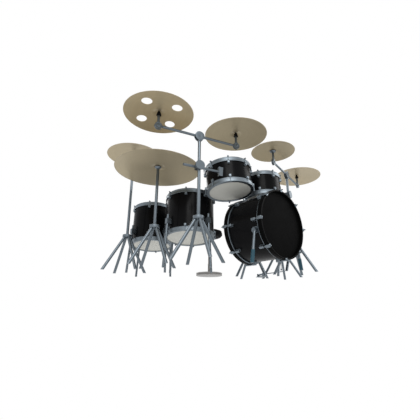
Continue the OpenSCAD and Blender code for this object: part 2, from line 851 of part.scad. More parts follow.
module crash_left() {
    at(front_stand_xy, boom_z + post_h, front_boom_dir) translate([-boom_half, 0, 0]) difference() {
        cymbal(crash_left_d, bow_of(crash_left_d));
        for (i = [0 : 3]) rotate([0, 0, vent_turn + 90 * i]) translate([crash_left_d * vent_ring, 0, -far / 2])
            cylinder(r = vent_d / 2, h = far);
    }
}

module crash_mid() {
    at(front_stand_xy, boom_z + post_h, front_boom_dir) translate([boom_half, 0, 0])
        cymbal(crash_mid_d, bow_of(crash_mid_d));
}

module splash() {
    at(right_stand_xy, boom_z + post_h, right_boom_dir) translate([-boom_half, 0, 0])
        cymbal(splash_d, bow_of(splash_d));
}

module crash_right() {
    at(right_stand_xy, boom_z + post_h, right_boom_dir) translate([boom_half, 0, 0])
        cymbal(crash_right_d, bow_of(crash_right_d));
}

module ride() { at(ride_stand_xy, ride_z) cymbal(ride_d, bow_of(ride_d)); }
module rear_crash() { at(rear_stand_xy, rear_z) cymbal(rear_d, bow_of(rear_d)); }

// Felts under and over the cymbals of the two straight stands
module felt_pair(z) {
    difference() {
        union() {
            translate([0, 0, z - seat_gap - felt_h])
                cylinder(r1 = felt_r, r2 = rod_top_r + 2, h = felt_h);
            translate([0, 0, z + cymbal_t + seat_gap])
                cylinder(r1 = rod_top_r + 2, r2 = felt_r, h = top_felt_h);
        }
        translate([0, 0, z - far / 2]) cylinder(r = rod_top_r + fit, h = far);
    }
}

module straight_stand_felts() {
    color(black) {
        at(ride_stand_xy) felt_pair(ride_z);
        at(rear_stand_xy) felt_pair(rear_z);
    }
}

// ---------- hi-hat ----------

hihat_seat_z = hihat_cup_z;
hihat_bell_h = hihat_d * 0.022;
hihat_bow = hihat_d * 0.045;
hihat_edge_z = hihat_seat_z + hihat_bell_h + hihat_bow + cymbal_t;
clutch_z = hihat_edge_z + hihat_open + hihat_bell_h + hihat_bow + cymbal_t;

module hihat_bottom() {
    at(hihat_xy, hihat_seat_z + cymbal_t) mirror([0, 0, 1]) cymbal(hihat_d, hihat_bow);
}

module hihat_top() {
    at(hihat_xy, clutch_z - cymbal_t) cymbal(hihat_d, hihat_bow);
}

link_z = pedal_heel_z + pedal_len * sin(pedal_rise) + 14;

// The pull rod, with the clutch above and below the top cymbal and the link at its foot
module hihat_rod() {
    color(metal) at(hihat_xy) {
        translate([0, 0, link_z]) cylinder(r = hihat_rod_r, h = hihat_rod_z - link_z);
        translate([0, 0, link_z]) cylinder(r = 8, h = 16);
        translate([0, 0, clutch_z]) cylinder(r = 12, h = 22);
        translate([0, 0, clutch_z - cymbal_t - 10]) cylinder(r = 10, h = 8);
    }
}

// The board rises from its heel towards the rod
module hihat_footboard() {
    board_t = 7;
    knuckle_r = 9;
    color(metal) at(hihat_xy, pedal_heel_z, pedal_dir) translate([pedal_len, 0, 0])
        rotate([0, pedal_rise, 0]) difference() {
            union() {
                translate([-pedal_len - 20, -pedal_w / 2, -board_t / 2])
                    cube([pedal_len + 20, pedal_w, board_t]);
                translate([0, pedal_w / 2, 0]) rotate([90, 0, 0]) cylinder(r = knuckle_r, h = pedal_w);
            }
            translate([0, pedal_w, 0]) rotate([90, 0, 0]) cylinder(r = heel_pin_r + fit, h = 2 * pedal_w);
        }
}

// The plate on the floor, with the two ears and the pin that the board turns on
module hihat_heel() {
    ear_x = pedal_len;
    color(metal) at(hihat_xy, 0, pedal_dir) {
        translate([ear_x - 45, -pedal_w / 2 - 10, 0]) cube([70, pedal_w + 20, 6]);
        for (side = [-1, 1]) translate([ear_x - 12, side * (pedal_w / 2 + 5.4) - 4, 0])
            cube([24, 8, pedal_heel_z + 10]);
        translate([ear_x, pedal_w / 2 + 6, pedal_heel_z]) rotate([90, 0, 0])
            cylinder(r = heel_pin_r, h = pedal_w + 12);
    }
}

// ---------- throne ----------

module throne_base() {
    r = throne_base_d / 2;
    top = 2 * throne_disc_t + throne_disc_gap;
    color([0.45, 0.44, 0.43]) at(throne_xy) difference() {
        union() {
            cylinder(r = r, h = throne_disc_t);
            cylinder(r = r - 8, h = top);
            translate([0, 0, throne_disc_t + throne_disc_gap]) cylinder(r = r, h = throne_disc_t);
            cylinder(r = throne_post_d / 2 + throne_sleeve_t, h = top + throne_sleeve_h);
        }
        translate([0, 0, 8]) cylinder(r = throne_post_d / 2 + fit, h = far);
    }
}

module throne_post() {
    low = 12;
    color([0.42, 0.38, 0.35]) at(throne_xy, low) cylinder(r = throne_post_d / 2,
        h = throne_z - throne_seat_t + throne_seat_bore - gap - low);
}

// A crowned round cushion with rolled edges, bored for the post
module throne_seat() {
    r = throne_seat_d / 2;
    roll = throne_seat_t * 0.42;
    crown = 6;
    color(black) at(throne_xy, throne_z - throne_seat_t) difference() {
        rotate_extrude() polygon(concat([[0, 0]],
            [for (a = [-90 : 15 : 90]) [r - roll + roll * cos(a),
                (a < 0 ? roll : throne_seat_t - crown - roll) + roll * sin(a)]],
            [[0, throne_seat_t]]));
        translate([0, 0, -1]) cylinder(r = throne_post_d / 2 + fit, h = throne_seat_bore + 1);
    }
}

bass_shell();
bass_front_head();
bass_back_head();
bass_hoops();
bass_flesh_rings();
bass_claws();
bass_lugs();
spur_brackets();
spur_left();
spur_right();
spur_foot_left();
spur_foot_right();
rack1_shell();
rack1_heads();
rack1_hoops();
rack1_lugs();
rack1_arm();
rack2_shell();
rack2_heads();
rack2_hoops();
rack2_lugs();
rack2_arm();
tom_clamps();
floor1_shell();
floor2_shell();
floor_drum_heads();
floor_drum_hoops();
floor_drum_lugs();
floor_tom_sockets();
floor_tom_legs();
snare_shell();
snare_wires();
snare_strainer();
snare_lever();
snare_basket();
stand_collars();
stand_legs();
stand_poles();
front_boom();
right_boom();
tilter_left();
tilter_mid();
tilter_splash();
tilter_right();
crash_left();
crash_mid();
splash();
crash_right();
ride();
rear_crash();
straight_stand_felts();
hihat_rod();
hihat_bottom();
hihat_top();
hihat_footboard();
hihat_heel();
throne_base();
throne_post();
throne_seat();
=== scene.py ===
# %% [markdown]
# # An acoustic drum kit
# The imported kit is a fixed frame: every body and joint is there, with plain shapes.
# This script dresses it. Shells, heads, legs and clamps are right already and only get a finish.
# Hoops, lugs, claws, cymbals, tilters, booms, poles and the throne are modelled again with the
# rolled rims and rounded edges of the real pieces, because that is where light catches.
# Lengths are in metres, profiles in millimetres, +Z is up and the audience is towards -Y.

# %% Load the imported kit
import json
import math

import bpy
from mathutils import Matrix, Vector


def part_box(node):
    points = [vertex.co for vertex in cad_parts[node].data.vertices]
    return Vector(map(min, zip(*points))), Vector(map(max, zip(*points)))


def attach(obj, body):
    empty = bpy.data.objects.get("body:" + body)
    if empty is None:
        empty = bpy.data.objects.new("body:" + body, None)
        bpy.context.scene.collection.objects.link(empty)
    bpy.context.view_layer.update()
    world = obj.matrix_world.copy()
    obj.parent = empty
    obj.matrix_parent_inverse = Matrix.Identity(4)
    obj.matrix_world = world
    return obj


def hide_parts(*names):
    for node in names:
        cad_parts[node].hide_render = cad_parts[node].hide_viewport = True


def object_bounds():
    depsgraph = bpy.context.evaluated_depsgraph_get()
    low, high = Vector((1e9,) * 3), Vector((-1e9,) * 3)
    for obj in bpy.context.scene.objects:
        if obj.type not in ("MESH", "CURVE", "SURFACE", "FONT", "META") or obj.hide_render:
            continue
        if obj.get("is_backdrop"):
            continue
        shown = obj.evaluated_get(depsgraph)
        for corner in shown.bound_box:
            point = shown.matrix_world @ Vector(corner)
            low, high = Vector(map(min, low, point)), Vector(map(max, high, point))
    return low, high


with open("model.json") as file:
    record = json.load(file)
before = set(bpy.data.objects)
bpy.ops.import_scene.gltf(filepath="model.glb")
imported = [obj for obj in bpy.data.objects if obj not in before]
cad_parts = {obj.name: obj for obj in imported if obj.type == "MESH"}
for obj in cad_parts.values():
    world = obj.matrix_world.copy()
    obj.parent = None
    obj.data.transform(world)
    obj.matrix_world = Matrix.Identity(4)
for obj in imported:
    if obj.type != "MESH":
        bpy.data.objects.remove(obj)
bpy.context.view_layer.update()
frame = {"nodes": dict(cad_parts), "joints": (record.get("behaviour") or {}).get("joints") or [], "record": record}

joints = {j["name"]: j for j in frame["joints"]}

# %% [markdown]
# ## Selecting and placing
# An operator acts on everything that is selected, and loading leaves the CAD nodes selected.
# A piece could be made by writing its vertices, but then a reader can't follow it by hand, so
# each tool starts from nothing selected, uses operators, and leaves one finished object.
# A finished object sits at the origin, unturned, so a pattern on it never slides.

# %% Select one object, or put a new piece in its place
MM = 0.001


def deselect():
    """Leave every object unselected and in object mode."""
    if bpy.context.mode != "OBJECT":
        bpy.ops.object.mode_set(mode="OBJECT")
    bpy.ops.object.select_all(action="DESELECT")


def only(obj):
    """Make obj the one selected and active object."""
    deselect()
    obj.select_set(True)
    bpy.context.view_layer.objects.active = obj
    return obj


def place(obj, matrix):
    """Move a new piece, and put its origin back at the world's."""
    only(obj)
    obj.matrix_world = matrix
    bpy.ops.object.transform_apply(location=True, rotation=True, scale=True)
    return obj


# %% [markdown]
# ## Turning and blocking
# Nearly all of a drum kit is turned or spun: hoops, cymbals, poles, rods and pins.
# A cylinder primitive has hard rims, and a bevel on it rounds both rims alike. A closed profile
# spun about Z gives each rim its own shape, so the lathe is the main tool here.
# Cast pieces such as lug casings and claws start as a box and get a bevel on every edge.

# %% A lathe and a bevelled block
ROUND_BELOW = 40  # degrees: a sharper fold than this stays a crisp edge
SAME_POINT = 1e-6


def lathe(name, profile, sides=64, smooth=ROUND_BELOW):
    """Spin a closed profile of (radius, height) points in mm about Z."""
    deselect()
    bpy.ops.mesh.primitive_plane_add(size=0.01)
    obj = bpy.context.object
    obj.name = name
    bpy.ops.object.mode_set(mode="EDIT")
    bpy.ops.mesh.select_all(action="SELECT")
    bpy.ops.mesh.merge(type="CENTER")
    points = [Vector((r * MM, 0, z * MM)) for r, z in profile]
    bpy.ops.transform.translate(value=points[0])
    for here, there in zip(points, points[1:] + points[:1]):
        bpy.ops.mesh.extrude_region_move(TRANSFORM_OT_translate={"value": there - here})
    bpy.ops.mesh.select_all(action="SELECT")
    bpy.ops.mesh.remove_doubles(threshold=SAME_POINT)
    bpy.ops.mesh.spin(steps=sides, angle=math.tau, center=(0, 0, 0), axis=(0, 0, 1))
    bpy.ops.mesh.select_all(action="SELECT")
    bpy.ops.mesh.remove_doubles(threshold=SAME_POINT)
    bpy.ops.mesh.normals_make_consistent(inside=False)
    bpy.ops.object.mode_set(mode="OBJECT")
    bpy.ops.object.shade_smooth_by_angle(angle=math.radians(smooth))
    return obj


def block(name, low, high, bevel=1.0, segments=2):
    """A box between two corners in mm, with rounded edges."""
    deselect()
    bpy.ops.mesh.primitive_cube_add(size=1)
    obj = bpy.context.object
    obj.name = name
    size = [(b - a) * MM for a, b in zip(low, high)]
    middle = [(a + b) / 2 * MM for a, b in zip(low, high)]
    bpy.ops.object.mode_set(mode="EDIT")
    bpy.ops.mesh.select_all(action="SELECT")
    bpy.ops.transform.resize(value=size)
    bpy.ops.transform.translate(value=middle)
    if bevel:
        bpy.ops.mesh.bevel(offset=bevel * MM, segments=segments, affect="EDGES")
    bpy.ops.object.mode_set(mode="OBJECT")
    bpy.ops.object.shade_smooth_by_angle(angle=math.radians(ROUND_BELOW))
    return obj


# %% [markdown]
# ## Joining and repeating
# Lugs and claws repeat up to sixty times. Instances would be lighter, but each piece needs its
# own mesh, so one is modelled and then duplicated, placed and joined into a set.

# %% Join pieces, and repeat one piece
def join(name, objs):
    """Join pieces into one, named name."""
    deselect()
    for o in objs:
        o.select_set(True)
    bpy.context.view_layer.objects.active = objs[0]
    if len(objs) > 1:
        bpy.ops.object.join()
    objs[0].name = name
    objs[0].data.name = name
    return objs[0]


def copies(name, obj, matrices):
    """One piece made of a copy of obj at each matrix. obj itself is the first."""
    made = [obj]
    for _ in matrices[1:]:
        only(obj)
        bpy.ops.object.duplicate(linked=False)
        made.append(bpy.context.object)
    for o, m in zip(made, matrices):
        o.matrix_world = m
    piece = join(name, made)
    only(piece)
    bpy.ops.object.transform_apply(location=True, rotation=True, scale=True)
    return piece


# %% [markdown]
# ## Profiles
# Every rim on the real metal is broken by a small radius, which shows as a thin bright line.
# An arc of three to six points is enough for that, and keeps each piece light.

# %% Arcs, bars and rings for the lathe
def rounded(r, z, radius, start, end, steps=4):
    """Points of an arc about (r, z), from start to end in degrees."""
    turn = [math.radians(start + (end - start) * i / steps) for i in range(steps + 1)]
    return [(r + radius * math.cos(a), z + radius * math.sin(a)) for a in turn]


def rod_profile(radius, low, high, edge=0.8):
    """A solid round bar's profile with rounded rims."""
    return [(0, low)] + rounded(radius - edge, low + edge, edge, -90, 0) \
        + rounded(radius - edge, high - edge, edge, 0, 90) + [(0, high)]


def ring_profile(inner, outer, low, high, edge=1.0, steps=3):
    """A ring's profile with four rounded rims."""
    return rounded(inner + edge, low + edge, edge, 180, 270, steps) \
        + rounded(outer - edge, low + edge, edge, 270, 360, steps) \
        + rounded(outer - edge, high - edge, edge, 0, 90, steps) \
        + rounded(inner + edge, high - edge, edge, 90, 180, steps)


# %% [markdown]
# ## Places
# Places come from the CAD: the middle of a node's box, or a joint's own point and axis.
# Copying numbers by eye would drift from the frame, and a moving piece would miss its pivot.

# %% Find places, and hand a piece over
def middle(node):
    """The middle of a CAD node's box."""
    low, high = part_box(node)
    return (low + high) / 2


def turn_z(degrees):
    """A turn about Z."""
    return Matrix.Rotation(math.radians(degrees), 4, "Z")


SIDEWAYS = Matrix.Rotation(math.radians(90), 4, "X")
ALONG = Matrix.Rotation(math.radians(90), 4, "Y")
UPSIDE_DOWN = Matrix.Rotation(math.pi, 4, "X")


def joint_frame(joint):
    """The upright frame at a joint whose Y is the joint's axis."""
    axis = Vector(joints[joint]["axis"])
    turn = math.degrees(math.atan2(axis.y, axis.x)) - 90
    return Matrix.Translation(Vector(joints[joint]["pos_m"])) @ turn_z(turn)


def on_floor(point):
    """The frame on the floor under a point."""
    return Matrix.Translation((point[0], point[1], 0))


def finish_piece(obj, body, slot, material, *nodes):
    """Give a piece its finish, its body, and the CAD nodes that it stands for."""
    obj.data.materials.clear()
    obj.data.materials.append(material)
    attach(obj, body)
    if nodes:
        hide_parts(*nodes)
    return obj


# %% [markdown]
# ## Shader arithmetic
# A finish varies over a surface: cloudy polish, lathe rings, woven threads. Each is a little
# arithmetic on noise. Wiring Math nodes one by one hides the sum, so a class wraps a socket
# and lets Python's own signs add the nodes: mask * 0.3 + 0.5, or 1 - mask.

# %% A value that takes part in sums
class Value:
    """The output of a node, which takes part in sums."""

    def __init__(self, tree, socket):
        """Hold one output socket and the node tree it is in."""
        self.tree = tree
        self.socket = socket

    def sum(self, operation, first, second):
        """One Math node between two values or numbers."""
        inputs = {0: first, 1: second}
        return add_node(self.tree, "Math", inputs=inputs, operation=operation)

    def __add__(self, other):
        return self.sum("ADD", self, other)

    def __sub__(self, other):
        return self.sum("SUBTRACT", self, other)

    def __rsub__(self, other):
        return self.sum("SUBTRACT", other, self)

    def __mul__(self, other):
        return self.sum("MULTIPLY", self, other)

    __radd__ = __add__
    __rmul__ = __mul__


def add_node(tree, kind, output=0, inputs=None, **settings):
    """Any node: its settings first, then a value or a link for each socket."""
    node = tree.nodes.new("ShaderNode" + kind)
    for key, value in settings.items():
        setattr(node, key, value)
    for key, value in (inputs or {}).items():
        if isinstance(value, Value):
            tree.links.new(value.socket, node.inputs[key])
        else:
            node.inputs[key].default_value = value
    return Value(tree, node.outputs[output]) if len(node.outputs) else None


# %% [markdown]
# ## A finish
# Each material is one Principled shader. What is the same all over is set on the shader's own
# socket, because the export drops a constant that arrives through a link. What varies goes to
# colour, roughness, metallic, coat weight or bump only.

# %% One material with its noise, tint and bump
class Finish:
    """A material: constants sit on the shader's sockets, and varying values are linked."""

    def __init__(self, name, color, metallic=0.0, roughness=0.5, **sockets):
        """A plain shader with its constants; a keyword names any other socket."""
        self.material = bpy.data.materials.new(name)
        self.material.use_nodes = True
        self.tree = self.material.node_tree
        self.shader = self.tree.nodes["Principled BSDF"]
        self.color = color
        self.set("Base Color", (*color, 1))
        self.set("Metallic", metallic)
        self.set("Roughness", roughness)
        for key, value in sockets.items():
            self.set(key.replace("_", " ").title().replace("Ior", "IOR"), value)

    def set(self, socket, value):
        """Link a value to a socket of the shader, or set a constant there."""
        if isinstance(value, Value):
            self.tree.links.new(value.socket, self.shader.inputs[socket])
        else:
            self.shader.inputs[socket].default_value = value

    def node(self, kind, output=0, inputs=None, **settings):
        """Any other node of this material."""
        return add_node(self.tree, kind, output, inputs, **settings)

    def coords(self):
        """Object coordinates, in metres."""
        return self.node("TexCoord", output="Object")

    def noise(self, scale, detail=3.0, stretch=(1, 1, 1), where=None):
        """Noise of scale cells a metre, which may be stretched or read elsewhere."""
        at = self.node("Mapping", inputs={"Vector": where or self.coords(), "Scale": stretch})
        return self.node("TexNoise", inputs={"Vector": at, "Scale": scale, "Detail": detail})

    def tint(self, amount, low, high):
        """Base colour between two brightnesses of the finish's own colour."""
        self.set("Base Color", self.node("Mix", output=2, data_type="RGBA", inputs={
            0: amount, 6: (*[c * low for c in self.color], 1),
            7: (*[c * high for c in self.color], 1)}))

    def bump(self, height, strength, distance=0.001):
        """Relief that is distance metres deep at strength 1."""
        self.set("Normal", self.node("Bump", inputs={
            "Height": height, "Strength": strength, "Distance": distance}))


# %% [markdown]
# ## Metal
# The stands, hoops and lugs are plated steel with a satin blue-grey face: cloudy at arm's
# length, and finely drawn along each tube. A mirror finish would be simpler but reads as new
# chrome, so the roughness drifts with a slow cloud and a fast stretched grain.

# %% Steel, chrome and the throne's brown post
def metal_finish(name, color, roughness, wear=0.08):
    """Plated metal whose roughness drifts by wear, drawn along Z."""
    m = Finish(name, color, metallic=1.0, roughness=roughness)
    cloud = m.noise(9, 4)
    fine = m.noise(900, 2, (1, 1, 0.04))
    m.tint(cloud, 0.9, 1.1)
    m.set("Roughness", (cloud * wear + fine * wear) + (roughness - wear))
    m.bump(fine, 0.04, 0.0005)
    return m.material


steel = metal_finish("steel", (0.135, 0.158, 0.177), 0.42)
chrome = metal_finish("chrome", (0.165, 0.192, 0.214), 0.46, 0.05)
post_brown = metal_finish("post_brown", (0.20, 0.165, 0.145), 0.4)


# %% [markdown]
# ## Lacquer, wood and black heads
# The shells are black lacquer, the bass drum's hoops are painted wood and its front head is
# dull film. All three are one recipe with a different gloss, grain size and roughness.

# %% Black finishes
def black_finish(name, color, roughness, coat, grain, gloss):
    """A black surface; coat is the most lacquer it shows, grain its cells a metre."""
    m = Finish(name, color, roughness=roughness, coat_roughness=0.12, specular_ior_level=gloss)
    cloud = m.noise(14, 4)
    m.tint(cloud, 0.8, 1.25)
    m.set("Roughness", (roughness + 0.06) - cloud * 0.12)
    if coat:
        m.set("Coat Weight", cloud * coat)
    m.bump(m.noise(grain, 3), 0.05, 0.0004)
    return m.material


shell_black = black_finish("shell_black", (0.0025, 0.0025, 0.0028), 0.28, 0.05, 260, 0.035)
hoop_black = black_finish("hoop_black", (0.002, 0.002, 0.002), 0.42, 0.0, 420, 0.02)
head_black = black_finish("head_black", (0.002, 0.002, 0.002), 0.55, 0.0, 700, 0.008)


# %% [markdown]
# ## Paint, rubber, heads and felt
# The spur sleeves are dark teal and the throne's base a warm grey, both powder coated.
# A coated head is sprayed film: near white, faintly mottled, with a grain that can be felt.
# Felt and rubber are told apart by their bump, as both are almost black.

# %% Paint, rubber, coated heads and felt
def paint_finish(name, color, roughness):
    """Powder coat: a slow cloud of tone over a fine pebble."""
    m = Finish(name, color, roughness=roughness, specular_ior_level=0.2, coat_weight=0.05,
               coat_roughness=0.2)
    cloud = m.noise(22, 4)
    m.tint(cloud, 0.88, 1.12)
    m.set("Roughness", cloud * 0.15 + (roughness - 0.07))
    m.bump(m.noise(500, 2), 0.06, 0.0004)
    return m.material


teal = paint_finish("teal", (0.012, 0.048, 0.068), 0.45)
base_grey = paint_finish("base_grey", (0.27, 0.26, 0.25), 0.5)

rubber = Finish("rubber", (0.004, 0.004, 0.004), roughness=0.7, specular_ior_level=0.06)
rubber.tint(rubber.noise(60, 3), 0.8, 1.4)
rubber.bump(rubber.noise(1500, 2), 0.1, 0.0003)

coated = Finish("head_coated", (0.46, 0.455, 0.415), roughness=0.62, specular_ior_level=0.2)
mottle = coated.noise(34, 5)
coated.tint(mottle, 0.93, 1.07)
coated.set("Roughness", mottle * 0.16 + 0.54)
coated.bump(coated.noise(1400, 3), 0.16, 0.0005)

felt = Finish("felt", (0.018, 0.018, 0.018), roughness=0.95)
fuzz = felt.noise(900, 4)
felt.tint(fuzz, 0.5, 1.9)
felt.bump(fuzz, 0.5, 0.0008)

# %% [markdown]
# ## Cloth
# The cushion's cover is a plain weave. Two bands of waves at right angles, multiplied, give the
# crossing threads without a picture or a UV map, and also drive the bump.

# %% The cushion's weave
cloth = Finish("cushion", (0.005, 0.005, 0.0055), roughness=0.8, specular_ior_level=0.08)
THREADS = 260.0
weave_x, weave_y = (
    cloth.node("TexWave", inputs={"Vector": cloth.coords(), "Scale": THREADS},
               wave_type="BANDS", bands_direction=direction) for direction in "XY")
weave = weave_x * weave_y
cloth.tint(weave * 0.6 + cloth.noise(18, 3) * 0.4, 0.7, 1.5)
cloth.bump(weave, 0.25, 0.0005)


# %% [markdown]
# ## Bronze
# A cymbal is hammered, then turned on a lathe, which leaves fine rings about its own centre and
# a slow change of tone. Rings need the distance from the axis, so the finish is centred on each
# cymbal: the plane part of the position, its length, and noise along that length.

# %% Bronze with lathe rings
def bronze_finish(name, centre):
    """Bronze turned on a lathe: fine rings about the cymbal's own axis."""
    m = Finish(name, (0.39, 0.325, 0.21), metallic=0.55, roughness=0.42)
    here = m.node("Mapping", inputs={"Vector": m.coords(), "Location": [-c for c in centre]})
    flat = m.node("Mapping", inputs={"Vector": here, "Scale": (1, 1, 0)})
    radius = m.node("VectorMath", output="Value", operation="LENGTH", inputs={0: flat})
    along = m.node("CombineXYZ", inputs={"X": radius})
    coarse = m.noise(95, 3, where=along)
    rings = m.noise(900, 3, where=along)
    cloud = m.noise(5, 3)
    m.tint(coarse * 0.55 + cloud * 0.45, 0.72, 1.22)
    m.set("Roughness", rings * 0.16 + cloud * 0.08 + 0.3)
    m.bump(rings - m.noise(42, 1) * 0.8, 0.22, 0.0006)
    return m.material


print("finishes", len(bpy.data.materials))

# %% [markdown]
# ## Cymbals
# A cymbal is one thin plate: a bell with its hole, a shallow bow that steepens outwards, and a
# rim rounded by polishing. It could be a disc pushed up in the middle, but the bell's edge has
# to be smooth, so the whole section is drawn once and spun.

# %% Turn the six crash, splash and ride cymbals
CYMBAL_T, BELL_WIDTH_SHARE, BOW_POWER = 1.2, 0.11, 1.3


def cymbal_profile(d, bow, bell_h, hole=6.5):
    """The underside from the hole to the rim, then the top back again."""
    r = d / 2
    bell = d * BELL_WIDTH_SHARE

    def height(q):
        """How far the plate has dropped at radius q."""
        if q < bell:
            return -bell_h * (1 - math.cos(math.pi * q / bell)) / 2
        return -bell_h - bow * ((q - bell) / (r - bell)) ** BOW_POWER
    radii = [hole + (bell - hole) * i / 10 for i in range(10)]
    radii += [bell + (r - 1.5 - bell) * i / 20 for i in range(21)]
    under = [(q, height(q)) for q in radii]
    rim = rounded(r - 0.9, height(r) + CYMBAL_T / 2, 0.9, -70, 70, 4)
    return under + rim + [(q, z + CYMBAL_T) for q, z in reversed(under)]


BELL_SHARE, BOW_SHARE = 0.022, 0.027


def cymbal(node, body, centre, d, bow):
    """A turned cymbal seated at centre, which stands for the CAD's plain plate."""
    piece = lathe(node + "_plate", cymbal_profile(d, bow, d * BELL_SHARE), 128, 60)
    place(piece, Matrix.Translation(centre))
    return finish_piece(piece, body, "bronze", bronze_finish("bronze_" + node, centre), node)


cymbal_sizes = {"crash_left": 514, "crash_mid": 510, "splash": 394, "crash_right": 490,
                "ride": 704, "rear_crash": 496}
for node, d in cymbal_sizes.items():
    centre = Vector(joints[node + "_sway"]["pos_m"])
    plate = cymbal(node, node, centre, d, d * BOW_SHARE)
    print(plate.name, len(plate.data.polygons), "faces at", [round(v, 3) for v in centre])

# %% [markdown]
# ## Vents
# The left crash has four large round vents. Holes can't be spun, and cutting them face by face
# leaves ragged edges, so four plain cutters are taken away from the finished plate at once.

# %% Bore the left crash
VENT_D, VENT_RING, VENT_TURN = 76, 0.3 * 514, 40
boom_axis = Vector(joints["front_boom_tilt"]["axis"])
front_dir = math.degrees(math.atan2(boom_axis.y, boom_axis.x)) - 90
vented = bpy.data.objects["crash_left_plate"]
vent_centre = Vector(joints["crash_left_sway"]["pos_m"])
cutters = []
for i in range(4):
    deselect()
    bpy.ops.mesh.primitive_cylinder_add(vertices=64, radius=VENT_D / 2 * MM, depth=0.08)
    cutter = bpy.context.object
    place(cutter, Matrix.Translation(vent_centre) @ turn_z(front_dir + VENT_TURN + 90 * i)
          @ Matrix.Translation((VENT_RING * MM, 0, 0)))
    cutters.append(cutter)
cutter = join("vent_cutter", cutters)
only(vented)
hole = vented.modifiers.new("vents", "BOOLEAN")
hole.operation = "DIFFERENCE"
hole.solver = "EXACT"
hole.object = cutter
bpy.ops.object.modifier_apply(modifier="vents")
bpy.data.objects.remove(cutter)
only(vented)
bpy.ops.object.shade_smooth_by_angle(angle=math.radians(ROUND_BELOW))
print("vented crash", len(vented.data.polygons), "faces")

# %% [markdown]
# ## Hi-hat cymbals
# Two small deep cymbals face each other. The lower one lies upside down on the cup and stays;
# the upper one hangs from the clutch on the pull rod. One profile serves both, turned over once.

# %% Turn the two hi-hat cymbals
HIHAT_D, HIHAT_BOW_SHARE = 356, 0.045
for node, body, flip in (("hihat_bottom", "kit", True), ("hihat_top", "hihat_pull", False)):
    low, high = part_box(node)
    centre = (low + high) / 2
    line = cymbal_profile(HIHAT_D, HIHAT_D * HIHAT_BOW_SHARE, HIHAT_D * BELL_SHARE)
    piece = lathe(node + "_plate", line, 96, 60)
    if flip:
        seat = Vector((centre.x, centre.y, low.z + CYMBAL_T * MM))
        place(piece, Matrix.Translation(seat) @ UPSIDE_DOWN)
    else:
        seat = Vector((centre.x, centre.y, high.z - CYMBAL_T * MM))
        place(piece, Matrix.Translation(seat))
    finish_piece(piece, body, "bronze", bronze_finish("bronze_" + node, seat), node)
    print(piece.name, "at", round(seat.z, 3))

# %% [markdown]
# ## Drum hoops
# A hoop is pressed from strip: an inner lip over the head, a flange, a straight waist and a
# rolled lower edge. Its section is what shows, as three bright lines round the drum.
# Each drum has a frame of its own, with the origin at its middle and Z along its axis, so that
# the two hoops are one piece and its mirror turn, however the drum leans.

# %% A drum's frame and its pressed hoop
RACK_LEAN_DIR, FLOOR_LEAN, FLOOR_LEAN_DIR = 90, 6, 52


def drum_frame(node, lean, towards):
    """The frame at a drum's middle, leaning towards a heading."""
    t = math.radians(towards)
    axis = Vector((-math.sin(t), math.cos(t), 0))
    return Matrix.Translation(middle(node)) @ Matrix.Rotation(math.radians(lean), 4, axis)


def hoop(name, d):
    """A pressed hoop: inner lip, flange over the head, waist, and a rolled lower edge."""
    r = d / 2
    profile = rounded(r - 24.5, 2.5, 1.5, 90, 270, 4) + [(r - 21, 1.4), (r - 8, 0.6)] \
        + rounded(r - 3.5, 3.5, 3.5, -90, 0, 5) + [(r - 0.6, 8), (r - 1.6, 12), (r - 1.6, 26)] \
        + [(r - 0.6, 30)] + rounded(r - 2, 34, 2, 0, 180, 6) + [(r - 4.6, 28), (r - 6.8, 18)] \
        + [(r - 6.8, 9), (r - 9, 6), (r - 21, 5.4)]
    return lathe(name, profile, 112, 35)


# %% [markdown]
# ## Lugs
# A lug is a cast casing on the shell with a threaded rod up to the hoop, and a square-headed
# key rod that pulls an ear of the hoop down. It could be one carved block, but the gaps between
# casing, collar and rod are what make it read as hardware, so it is built of its seven parts.

# %% One lug, and where the lugs go
def lug(name, r_shell, r_hoop):
    """One lug casing with its tension rod, and the claw that pulls on the hoop."""
    casing = block("casing", (r_shell - 1.5, -10, 38), (r_hoop + 9, 10, 60), 3.5, 3)
    foot = block("foot", (r_shell - 2, -11, 37), (r_shell + 5, 11, 62), 1.5, 2)
    ear = block("ear", (r_hoop - 7, -7, -4.4), (r_hoop + 9, 7, -0.3), 1.5, 2)
    rod = lathe("rod", rod_profile(2.5, -5, 42), 16)
    washer = lathe("washer", ring_profile(2.6, 5.2, -5.6, -4.2, 0.4, 2), 20)
    head = block("head", (-2.6, -2.6, -9), (2.6, 2.6, -5), 0.7, 2)
    collar = lathe("collar", ring_profile(2.6, 5.2, 33, 38.5, 0.6, 2), 20)
    for part in (rod, washer, head, collar):
        place(part, Matrix.Translation(((r_hoop + 4.5) * MM, 0, 0)))
    return join(name, [casing, foot, ear, rod, washer, head, collar])


def around(base, h, n, turn):
    """A matrix for each lug at both ends of a drum that is h mm long."""
    lower = Matrix.Translation((0, 0, -h / 2 * MM))
    upper = Matrix.Translation((0, 0, h / 2 * MM)) @ UPSIDE_DOWN
    spins = [base @ turn_z(turn + i * 360 / n) for i in range(n)]
    return [spin @ end for spin in spins for end in (lower, upper)]


def both_ends(base, h):
    """A matrix for each end of a drum that is h mm long."""
    half = Matrix.Translation((0, 0, -h / 2 * MM))
    return [base @ half, base @ UPSIDE_DOWN @ half]


# %% [markdown]
# ## Dress the five drums
# The rack toms and floor toms lean, the snare is level. The two rack toms tilt on their arms, so
# their hoops and lugs ride on their own bodies.

